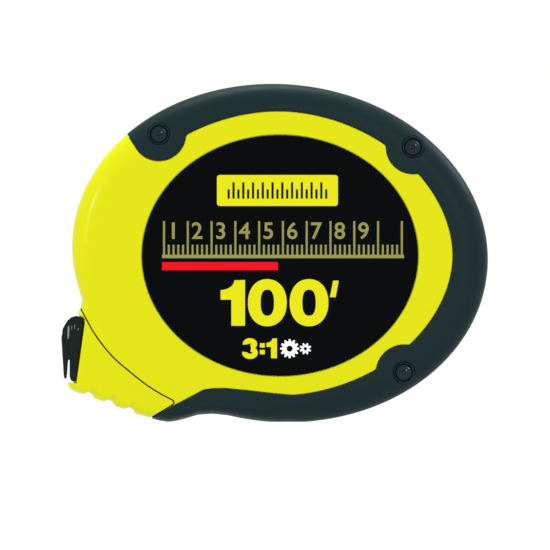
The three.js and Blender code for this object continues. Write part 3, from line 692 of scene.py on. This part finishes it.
def gear_shape(centre, root, tip, teeth, bore, turn=0.0):
    """A toothed wheel: its outline and its bore."""
    angles = around(teeth * 12)
    wave = np.cos(teeth * (angles - turn))
    radius = root + (tip - root) * np.clip(0.5 + 1.6 * wave, 0, 1)
    outer = np.column_stack([centre[0] + radius * np.cos(angles), centre[1] + radius * np.sin(angles)])
    inner = np.column_stack([centre[0] + bore * np.cos(angles), centre[1] + bore * np.sin(angles)])
    return outer, inner


def numeral(value, left):
    """One figure of the ruler scale, as a thin plate in the built-in font."""
    curve = bpy.data.curves.new("numeral", "FONT")
    curve.body = str(value)
    curve.size = FIGURE_HEIGHT / FONT_SHARE * MM
    curve.offset = FONT_BOLDNESS * MM
    curve.extrude = PRINT_HEIGHT / 2 * MM
    curve.resolution_u = 4
    source = bpy.data.objects.new("numeral", curve)
    bpy.context.scene.collection.objects.link(source)
    mesh = bpy.data.meshes.new_from_object(source.evaluated_get(bpy.context.evaluated_depsgraph_get()))
    bpy.data.objects.remove(source)
    mesh.transform(Matrix.Rotation(math.pi / 2, 4, "X"))
    mesh.transform(Matrix.Translation(Vector((left, LABEL_FACE - PRINT_HEIGHT / 2, FIGURE_BASE)) * MM))
    name = f"label_numeral_{value}"
    obj = bpy.data.objects.new(name, mesh)
    bpy.context.scene.collection.objects.link(obj)
    with_bmesh(obj, lambda bm: bmesh.ops.remove_doubles(bm, verts=bm.verts, dist=1e-7))
    placed(obj, name, "print_gold", "case")


def figure_three():
    """Two thick bows, the upper one smaller, joined at the waist."""
    x = -9.95
    upper = arc((x, 32.05), 1.25, 190, -80, 24)
    lower = arc((x, 28.45), 1.5, 80, -190, 28)
    half_stroke = 1.08
    parts = []
    for bow, stretch in ((upper, 1.5), (lower, 1.42)):
        line = np.array(bow)
        line[:, 0] = x + stretch * (line[:, 0] - x)
        side = left_normals(line) * half_stroke
        outline = np.vstack([line - side, (line + side)[::-1]])
        parts.append(prism("three", outline, LABEL_FACE - PRINT_HEIGHT, LABEL_FACE))
    placed(join(*parts), "label_three", "print_yellow", "case")


def label_print():
    """The badge, the ruler scale, the red bar, the length and the gear ratio."""
    plates("label_badge", [rounded_box(*BADGE, BADGE_CORNER)], "print_yellow")
    marks = []
    for k, x in enumerate(np.linspace(BADGE_FIRST, BADGE_LAST, BADGE_COUNT)):
        top = BADGE_MARK_TOPS[k % 2]
        marks.append(box_shape(x - BADGE_MARK / 2, x + BADGE_MARK / 2, BADGE_MARK_LOW, top))
    plates("label_badge_marks", marks, "label_black", MARK_HEIGHT)
    length = [one(-22, -12, 39.5, 58.26, 5.6)]
    for left in ZERO_LEFTS:
        length.append(zero(left, left + ZERO_WIDTH, *ZERO_ROW, *ZERO_STROKES))
    plates("label_length", [*length, np.array(PRIME)], "print_yellow")
    colon = [box_shape(COLON_LEFT, COLON_RIGHT, low, low + COLON_DOT) for low in COLON_LOWS]
    plates("label_ratio", [*colon, one(-3.2, 1.1, 26.2, 34.3, 2.45)], "print_yellow")
    figure_three()
    large = gear_shape((6.3, 30.1), 3.0, 3.9, 12, 1.25)
    small = gear_shape((12.75, 30.1), 1.6, 2.4, 8, 0.7, math.pi / 8)
    plates("label_gears", [large, small], "print_white")
    plates("label_bar", [box_shape(-46, 1.5, 62.3, 65.6)], "print_red")
    scale = [box_shape(*RULE_ENDS, RULE_LOW, RULE_LINE)]
    for k in range(RULE_COUNT):
        x = RULE_FIRST + RULE_PITCH * k
        tall = RULE_SHORT if k % 5 else RULE_TALL
        scale.append(box_shape(x - RULE_MARK / 2, x + RULE_MARK / 2, RULE_LINE, RULE_LOW + tall))
    plates("label_scale", scale, "print_gold")
    for k in range(9):
        numeral(k + 1, RULE_FIRST + FIGURE_SHIFT + 5 * RULE_PITCH * k)


# ---------------------------------------------------------------- end hook
HOOK_PIN = plan(JOINTS["claw_swing"]["pos_m"])
HOOK_EAR, PIN_RADIUS, CLAW_HALF_WIDTH = 2.3, 0.8, 6.6
ROOM_HALF_WIDTH, KNUCKLE_HALF_WIDTH, KNUCKLE_RADIUS, STRIP_HALF_WIDTH = 4.9, 4.6, 1.9, 5.1
RIDGE_LEAN, RIDGE_POINTS = 0.3, 24
HOOK_LEG = [(-84, 18.7), (-83.5, 17.1), (-82.3, 16.4), (-81.4, 17.2), (-81.1, 18.6), (-78.1, 40.2),
            (-78.2, 41.8), (-78.7, 42.6), (-81.2, 43.6), (-83.3, 43), (-84.9, 41.6), (-86.1, 39.6)]
HOOK_LIP = [(-84.6, 36.5), (-84.6, 26), (-84.1, 25.4), (-83.2, 25.4), (-83.2, 36.5)]
# Ribs on the hook's sides: x, lowest z, highest z, half width, height
HOOK_RIDGES = [(-84.6, 33.4, 40.2, 0.6, 0.6), (-83.25, 37.3, 40, 0.34, 0.5), (-82, 37.6, 40.4, 0.34, 0.5),
               (-80.6, 37.2, 38.9, 0.4, 0.5)]
HOOK_CHEEK = [(-86.75, 38.6), (-86.98, 37.2), (-87.1, 35.7), (-86.8, 34.6), (-85.6, 33.4), (-84.6, 32.2),
              (-83.2, 32.2), (-83.2, 38.6)]
CLAW_PLATE = [(-87.2, 35.9), (-87.4, 34.3), (-87.2, 31.8), (-87, 27.8), (-86.7, 23.9), (-86.5, 20),
              (-86.3, 18.1), (-85.8, 17.6), (-85.2, 18.2), (-84.95, 21.3), (-84.65, 25), (-84.3, 25.6)]


def hook_band(half_width):
    """The depths that lie within a half width of the tape's middle."""
    return TAPE_MIDDLE - half_width, TAPE_MIDDLE + half_width


def hook_body():
    """The moulded hook at the tape's end, with a room for the claw between its cheeks."""
    y0, y1 = hook_band(HOOK_WIDTH / 2)
    room = hook_band(ROOM_HALF_WIDTH)
    ear = arc(HOOK_PIN, HOOK_EAR, 165, 283, 12)
    outline = closed_soft([*HOOK_LEG, *ear, (-84, 35)], step=0.25, radius=0.3)
    hook = rounded(prism("hook", outline, y0, y1), width=1.4, segments=8, angle=45)
    cut(hook, bar(HOOK_EAR, room[0], room[1], HOOK_PIN))
    cut(hook, prism("room", [(-90, 30), (-84, 30), (-84, 40), (-90, 40)], room[0], room[1]))
    cheeks = hook_band(CLAW_HALF_WIDTH + GAP)
    for low, high in ((y0 + 0.15, cheeks[0]), (cheeks[1], y1 - 0.15)):
        for shape in (HOOK_LIP, HOOK_CHEEK):
            cheek = prism("cheek", closed_soft(shape, step=0.2, radius=0.2), low, high)
            join(hook, rounded(cheek, width=0.16, angle=45))
    cut(hook, bar(PIN_RADIUS + GAP, y0 + 0.9, FAR, HOOK_PIN, 24))
    y_low, y_high = hook_band(STRIP_HALF_WIDTH)
    cut(hook, tape_way(outer=4.6, inner=6, thickness=1.0, y0=y_low, y1=y_high))
    for x, low, high, half_width, height in HOOK_RIDGES:
        for face, outwards in ((y0, -1), (y1, 1)):
            join(hook, ridge(x, low, high, face, outwards, half_width, height))
    placed(smooth(hook, 38), "hook_body_moulding", "hook_nylon", "tape", "hook_body")


def ridge(x, low, high, face, outwards, half_width, height):
    """A half-round rib standing on a side of the hook, tapered at its ends."""
    rings = []
    for t in np.linspace(0, 1, 25):
        taper = math.sqrt(max(0.02, 1 - (2 * t - 1) ** 4))
        turns = around(RIDGE_POINTS)
        across = x + RIDGE_LEAN * t + half_width * taper * np.cos(turns)
        depth = face + outwards * height * taper * np.sin(turns)
        rings.append(np.column_stack([across, depth, np.full(RIDGE_POINTS, low + (high - low) * t)]))
    return rings_piece("ridge", rings)


def hook_claw():
    """The claw that swings on the hook's pin."""
    top = arc(HOOK_PIN, HOOK_EAR + 0.4, 278, 213, 10)
    outline = closed_soft([*CLAW_PLATE, *top], step=0.2, radius=0.2)
    claw = rounded(prism("claw", outline, *hook_band(CLAW_HALF_WIDTH)), width=0.8, segments=6, angle=45)
    knuckle = hook_band(KNUCKLE_HALF_WIDTH)
    join(claw, prism("web", [(-86.2, 34.4), (-84.35, 34.4), (-84.35, 37.6), (-86.2, 37.6)], *knuckle))
    join(claw, bar(KNUCKLE_RADIUS, knuckle[0], knuckle[1], HOOK_PIN))
    cut(claw, bar(PIN_RADIUS + GAP, -FAR, FAR, HOOK_PIN, 24))
    placed(smooth(claw, 38), "hook_claw_moulding", "hook_nylon", "claw", "hook_claw")


# ---------------------------------------------------------------- crank
def refined(node, name, slot, body, width, angle=34):
    """A CAD node's own shape with its edges rounded."""
    mesh = frame["nodes"][node].data.copy()
    obj = bpy.data.objects.new(name, mesh)
    bpy.context.scene.collection.objects.link(obj)

    def clean(bm):
        bmesh.ops.remove_doubles(bm, verts=bm.verts, dist=1e-6)
        bmesh.ops.dissolve_limit(bm, angle_limit=math.radians(1), verts=bm.verts, edges=bm.edges)

    with_bmesh(obj, clean)
    rounded(obj, width, angle=angle)
    placed(smooth(obj, angle), name, slot, body, node)


KNOB_GROOVES, KNOB_GROOVE_FIRST, KNOB_GROOVE_PITCH = 6, 5, 2.4
KNOB_GROOVE_DEPTH, KNOB_GROOVE_WIDTH = 0.28, 0.35
KNOB_BORE, KNOB_RECESS, KNOB_RECESS_DEPTH = 2.5, 3.8, 1.6


def knob():
    """The knob with grip grooves round it, its profile in radius and height."""
    axis = JOINTS["knob_spin"]["pos_m"]
    low, high = span("knob_grip", 2)
    outer = [(4.9, low), (5.5, low), (6, low + 0.8), (6.25, low + 3), (5.9, low + 8), (5.8, low + 12),
             (6.05, high - 5), (6.1, high - 2), (5.6, high - 0.6), (4.9, high), (4.4, high)]
    outer = softened(outer, step=0.25, radius=0.4)
    for k in range(KNOB_GROOVES):
        middle_z = low + KNOB_GROOVE_FIRST + KNOB_GROOVE_PITCH * k
        away = (outer[:, 1] - middle_z) / KNOB_GROOVE_WIDTH
        outer[:, 0] -= KNOB_GROOVE_DEPTH * np.exp(-away ** 2)
    floor = high - KNOB_RECESS_DEPTH
    recess = [(KNOB_RECESS, high), (KNOB_RECESS, floor), (KNOB_BORE, floor)]
    profile = [(KNOB_BORE, low), *map(tuple, outer), *recess, (KNOB_BORE, low)]
    turned_knob = turned("knob", profile, (0, 0), 72)
    upright = Matrix.Rotation(math.pi / 2, 4, "X")
    turned_knob.data.transform(Matrix.Translation((axis[0], axis[1], 0)) @ upright)
    placed(smooth(turned_knob, 50), "knob_grip_turned", "black_nylon", "knob", "knob_grip")


# ---------------------------------------------------------------- materials
class Nodes:
    """Builds a node material a step at a time."""

    def __init__(self, name):
        self.material = bpy.data.materials.new(name)
        self.material.use_nodes = True
        self.tree = self.material.node_tree
        self.shader = self.tree.nodes["Principled BSDF"]
        self.place = self.add("ShaderNodeTexCoord").outputs["Object"]

    def add(self, kind, inputs=None, **settings):
        node = self.tree.nodes.new(kind)
        for key, value in settings.items():
            setattr(node, key, value)
        for key, value in (inputs or {}).items():
            if isinstance(value, bpy.types.NodeSocket):
                self.tree.links.new(value, node.inputs[key])
            else:
                node.inputs[key].default_value = value
        return node

    def link(self, source, name):
        self.tree.links.new(source, self.shader.inputs[name])

    def noise(self, scale, detail=3.0, roughness=0.55):
        values = {"Vector": self.place, "Scale": scale, "Detail": detail, "Roughness": roughness}
        return self.add("ShaderNodeTexNoise", values).outputs["Fac"]

    def spread(self, source, low, high):
        values = {"Value": source, "From Min": 0.3, "From Max": 0.7, "To Min": low, "To Max": high}
        return self.add("ShaderNodeMapRange", values).outputs["Result"]

    def blend(self, factor, first, second):
        node = self.add("ShaderNodeMix", {0: factor, 6: (*first, 1), 7: (*second, 1)}, data_type="RGBA")
        return node.outputs[2]

    def math(self, operation, a, b=0.0):
        return self.add("ShaderNodeMath", {0: a, 1: b}, operation=operation).outputs[0]

    def bump(self, height, distance, strength=1.0):
        values = {"Height": height, "Distance": distance, "Strength": strength}
        self.link(self.add("ShaderNodeBump", values).outputs["Normal"], "Normal")


def linear(red, green, blue):
    """An sRGB colour of 0 to 255 as linear values."""
    shares = [c / 255 for c in (red, green, blue)]
    return tuple(((c + 0.055) / 1.055) ** 2.4 if c > 0.04 else c / 12.92 for c in shares)


def plain(name, color, rough, vary=0.04, metallic=0.0, shift=0.06, grain=900.0, depth=4e-6, specular=0.5):
    """A surface with slight mottling in colour and gloss and a fine grain."""
    nodes = Nodes(name)
    color = linear(*color)
    darker = [c * (1 - shift) for c in color]
    paler = [min(1.0, c * (1 + shift)) for c in color]
    nodes.link(nodes.blend(nodes.noise(60.0), darker, paler), "Base Color")
    nodes.link(nodes.spread(nodes.noise(240.0), rough - vary, rough + vary), "Roughness")
    nodes.shader.inputs["Metallic"].default_value = metallic
    nodes.shader.inputs["Specular IOR Level"].default_value = specular
    nodes.bump(nodes.noise(grain, 2.0), depth)
    return nodes.material


# Graduations on the tape, in metres: pitch, width, end measured from the tape's middle
TAPE_MARKS = ((0.002, 0.0003, -0.0025), (0.01, 0.0005, 0.0005), (0.05, 0.0009, 0.004))


def tape_finish():
    """Yellow lacquer with a black graduation along one edge."""
    nodes = Nodes("tape_steel")
    start = Vector((MOUTH[0], TAPE_MIDDLE, MOUTH[1])) * MM
    away = nodes.add("ShaderNodeVectorMath", {0: nodes.place, 1: start}, operation="SUBTRACT").outputs[0]
    axis = Vector((TAPE_AXIS[0], 0, TAPE_AXIS[1]))
    along = nodes.add("ShaderNodeVectorMath", {0: away, 1: axis}, operation="DOT_PRODUCT").outputs["Value"]
    across = nodes.add("ShaderNodeSeparateXYZ", {0: away}).outputs["Y"]
    marks = None
    for pitch, width, reach in TAPE_MARKS:
        tick = nodes.math("LESS_THAN", nodes.math("PINGPONG", along, pitch / 2), width / 2)
        tick = nodes.math("MULTIPLY", tick, nodes.math("LESS_THAN", across, reach))
        marks = tick if marks is None else nodes.math("MAXIMUM", marks, tick)
    nodes.link(nodes.blend(marks, linear(240, 205, 40), linear(20, 20, 22)), "Base Color")
    nodes.link(nodes.spread(nodes.noise(200.0), 0.25, 0.35), "Roughness")
    nodes.bump(nodes.noise(700.0), 2e-6)
    return nodes.material


def hook_finish():
    """Glossy black, with a painted highlight: the crests of the ribs are painted pale to stand for the glints
    of light on them.
    """
    nodes = Nodes("hook_nylon")
    depth = nodes.add("ShaderNodeSeparateXYZ", {0: nodes.place}).outputs["Y"]
    away = nodes.math("ABSOLUTE", nodes.math("SUBTRACT", depth, TAPE_MIDDLE * MM))
    # Painted highlight: parts more than 0.34 mm proud of the hook's sides, the crests of the ribs, are
    # painted pale to stand for glints of light.
    crest = (HOOK_WIDTH / 2 + 0.34) * MM
    values = {"Value": away, "From Min": crest, "From Max": crest + 0.3 * MM, "To Min": 0.0, "To Max": 0.8}
    painted_highlight = nodes.add("ShaderNodeMapRange", values).outputs["Result"]
    nodes.link(nodes.blend(painted_highlight, linear(8, 22, 18), linear(150, 172, 160)), "Base Color")
    nodes.link(nodes.spread(nodes.noise(240.0), 0.12, 0.18), "Roughness")
    nodes.shader.inputs["Specular IOR Level"].default_value = 0.14
    nodes.bump(nodes.noise(700.0), 4e-6)
    return nodes.material


# The record's slot of each finish that isn't a slot of its own
PLAIN = {
    "case_yellow": dict(color=(209, 209, 5), rough=0.22, shift=0.008, grain=1400.0, depth=2e-6, specular=0.1),
    "grip_rubber": dict(color=(12, 34, 36), rough=0.44, shift=0.1, grain=1600.0, depth=1e-5, specular=0.12),
    "label_black": dict(color=(6, 7, 9), rough=0.3, vary=0.02, shift=0.05, grain=500.0, depth=1e-6,
                        specular=0.02),
    "black_nylon": dict(color=(10, 26, 20), rough=0.14, shift=0.15, grain=700.0, depth=5e-6, specular=0.2),
    "natural_nylon": dict(color=(226, 223, 209), rough=0.45, specular=0.2),
    "steel": dict(color=(170, 173, 178), rough=0.3, metallic=1.0, grain=1200.0),
    "dark_steel": dict(color=(12, 32, 35), rough=0.16, shift=0.1, grain=900.0, depth=2e-6, specular=0.2),
    "bush_brass": dict(color=(176, 140, 76), rough=0.3, metallic=1.0),
    "print_yellow": dict(color=(216, 212, 22), rough=0.4, shift=0.01, specular=0.03),
    "print_gold": dict(color=(143, 139, 74), rough=0.4, shift=0.04, specular=0.03),
    "print_red": dict(color=(220, 18, 30), rough=0.4, shift=0.02, specular=0.03),
    "print_white": dict(color=(240, 240, 240), rough=0.4, shift=0.01, specular=0.03),
}
MATERIALS = {name: plain(name, **finish) for name, finish in PLAIN.items()}
MATERIALS["hook_nylon"] = hook_finish()
MATERIALS["tape_steel"] = tape_finish()
# The finish of each CAD node that no piece replaces
NODE_SLOTS = {
    "axle": "steel", "reel_washer": "natural_nylon", "ring_gear": "natural_nylon", "crank_bush": "bush_brass",
    "reel_hub": "natural_nylon", "reel_flange_front": "natural_nylon", "reel_flange_back": "natural_nylon",
    "tape_coil": "tape_steel", "tape_strip": "tape_steel", "sun_gear": "natural_nylon",
    "planet_carrier": "steel", "hook_pin": "steel", "hook_rivet_1": "steel", "hook_rivet_2": "steel",
    **{f"ring_gear_screw_{k}": "dark_steel" for k in (1, 2, 3)},
    **{f"planet_pin_{k}": "steel" for k in (1, 2, 3)},
    **{f"planet_gear_{k}": "black_nylon" for k in (1, 2, 3)},
}

# ---------------------------------------------------------------- the object
front_shell()
back_shell()
grip(back=False)
grip(back=True)
mouthpiece()
seam_seal()
for number, screw_centre in enumerate(SCREWS, 1):
    case_screw(number, screw_centre)
label_plate()
label_print()
hook_body()
hook_claw()
refined("crank_arm", "crank_arm_moulding", "black_nylon", "crank", 0.35)
refined("crank_screw", "crank_screw_black", "dark_steel", "crank", 0.2)
refined("knob_hinge_pin", "knob_hinge_pin_steel", "steel", "crank", 0.25)
refined("knob_post", "knob_post_steel", "steel", "knob_hinge", 0.25)
refined("knob_end_screw", "knob_end_screw_black", "dark_steel", "knob_hinge", 0.15)
knob()
for node, slot in NODE_SLOTS.items():
    carried = frame["nodes"][node]
    carried.data.materials.clear()
    carried.data.materials.append(MATERIALS[slot])

# ---------------------------------------------------------------- stage
FLOOR_RADIUS, FLOOR_DROP = 12.0, 0.0002


def stage_floor():
    """A white sheet under the object, glowing so that no shadow edge shows on it."""
    points = [(FLOOR_RADIUS * math.cos(a), FLOOR_RADIUS * math.sin(a), -FLOOR_DROP) for a in around(96)]
    mesh = bpy.data.meshes.new("floor")
    mesh.from_pydata(points, [], [tuple(range(len(points)))])
    floor = bpy.data.objects.new("floor", mesh)
    bpy.context.scene.collection.objects.link(floor)
    paper = plain("paper", (90, 90, 90), 0.9, shift=0.005, specular=0.0)
    shader = paper.node_tree.nodes["Principled BSDF"]
    shader.inputs["Emission Color"].default_value = (1, 1, 1, 1)
    shader.inputs["Emission Strength"].default_value = 0.95
    mesh.materials.append(paper)


def area_light(name, place, size, power, color=(1, 1, 1), target=(0, 0, 0.07)):
    light = bpy.data.lights.new(name, "AREA")
    light.shape = "RECTANGLE"
    light.size, light.size_y = size
    light.energy = power
    light.color = color
    obj = bpy.data.objects.new(name, light)
    obj.location = place
    obj.rotation_euler = (Vector(target) - Vector(place)).to_track_quat("-Z", "Y").to_euler()
    bpy.context.scene.collection.objects.link(obj)


stage_floor()
area_light("left", (-1.5, -1.4, 0.62), (0.2, 0.2), 5.5)
area_light("front_right", (0.69, -2.12, 0.65), (0.22, 0.22), 5.5)
area_light("top", (-0.2, 0.3, 1.95), (1.3, 0.3), 24, (0.72, 1, 0.9))
area_light("edge", (1.4, 0.45, 1.15), (0.4, 0.4), 15, (0.66, 0.84, 1))

world = bpy.data.worlds.new("world")
world.use_nodes = True
sky = world.node_tree.nodes["Background"]
sky.inputs["Color"].default_value = (1, 1, 1, 1)
sky.inputs["Strength"].default_value = 1.0
bpy.context.scene.world = world
bpy.context.scene.view_settings.view_transform = "Standard"

VIEW_WIDTH, LOOK_AT = 0.2255, (0.0003, -0.022, 0.0603)
camera = bpy.data.cameras.new("camera")
camera.lens = 800
camera.sensor_width = 36
camera.clip_end = 50
eye = bpy.data.objects.new("camera", camera)
distance = VIEW_WIDTH * camera.lens / camera.sensor_width
eye.location = (LOOK_AT[0], LOOK_AT[1] - distance, LOOK_AT[2])
eye.rotation_euler = (math.pi / 2, 0, 0)
bpy.context.scene.collection.objects.link(eye)
bpy.context.scene.camera = eye
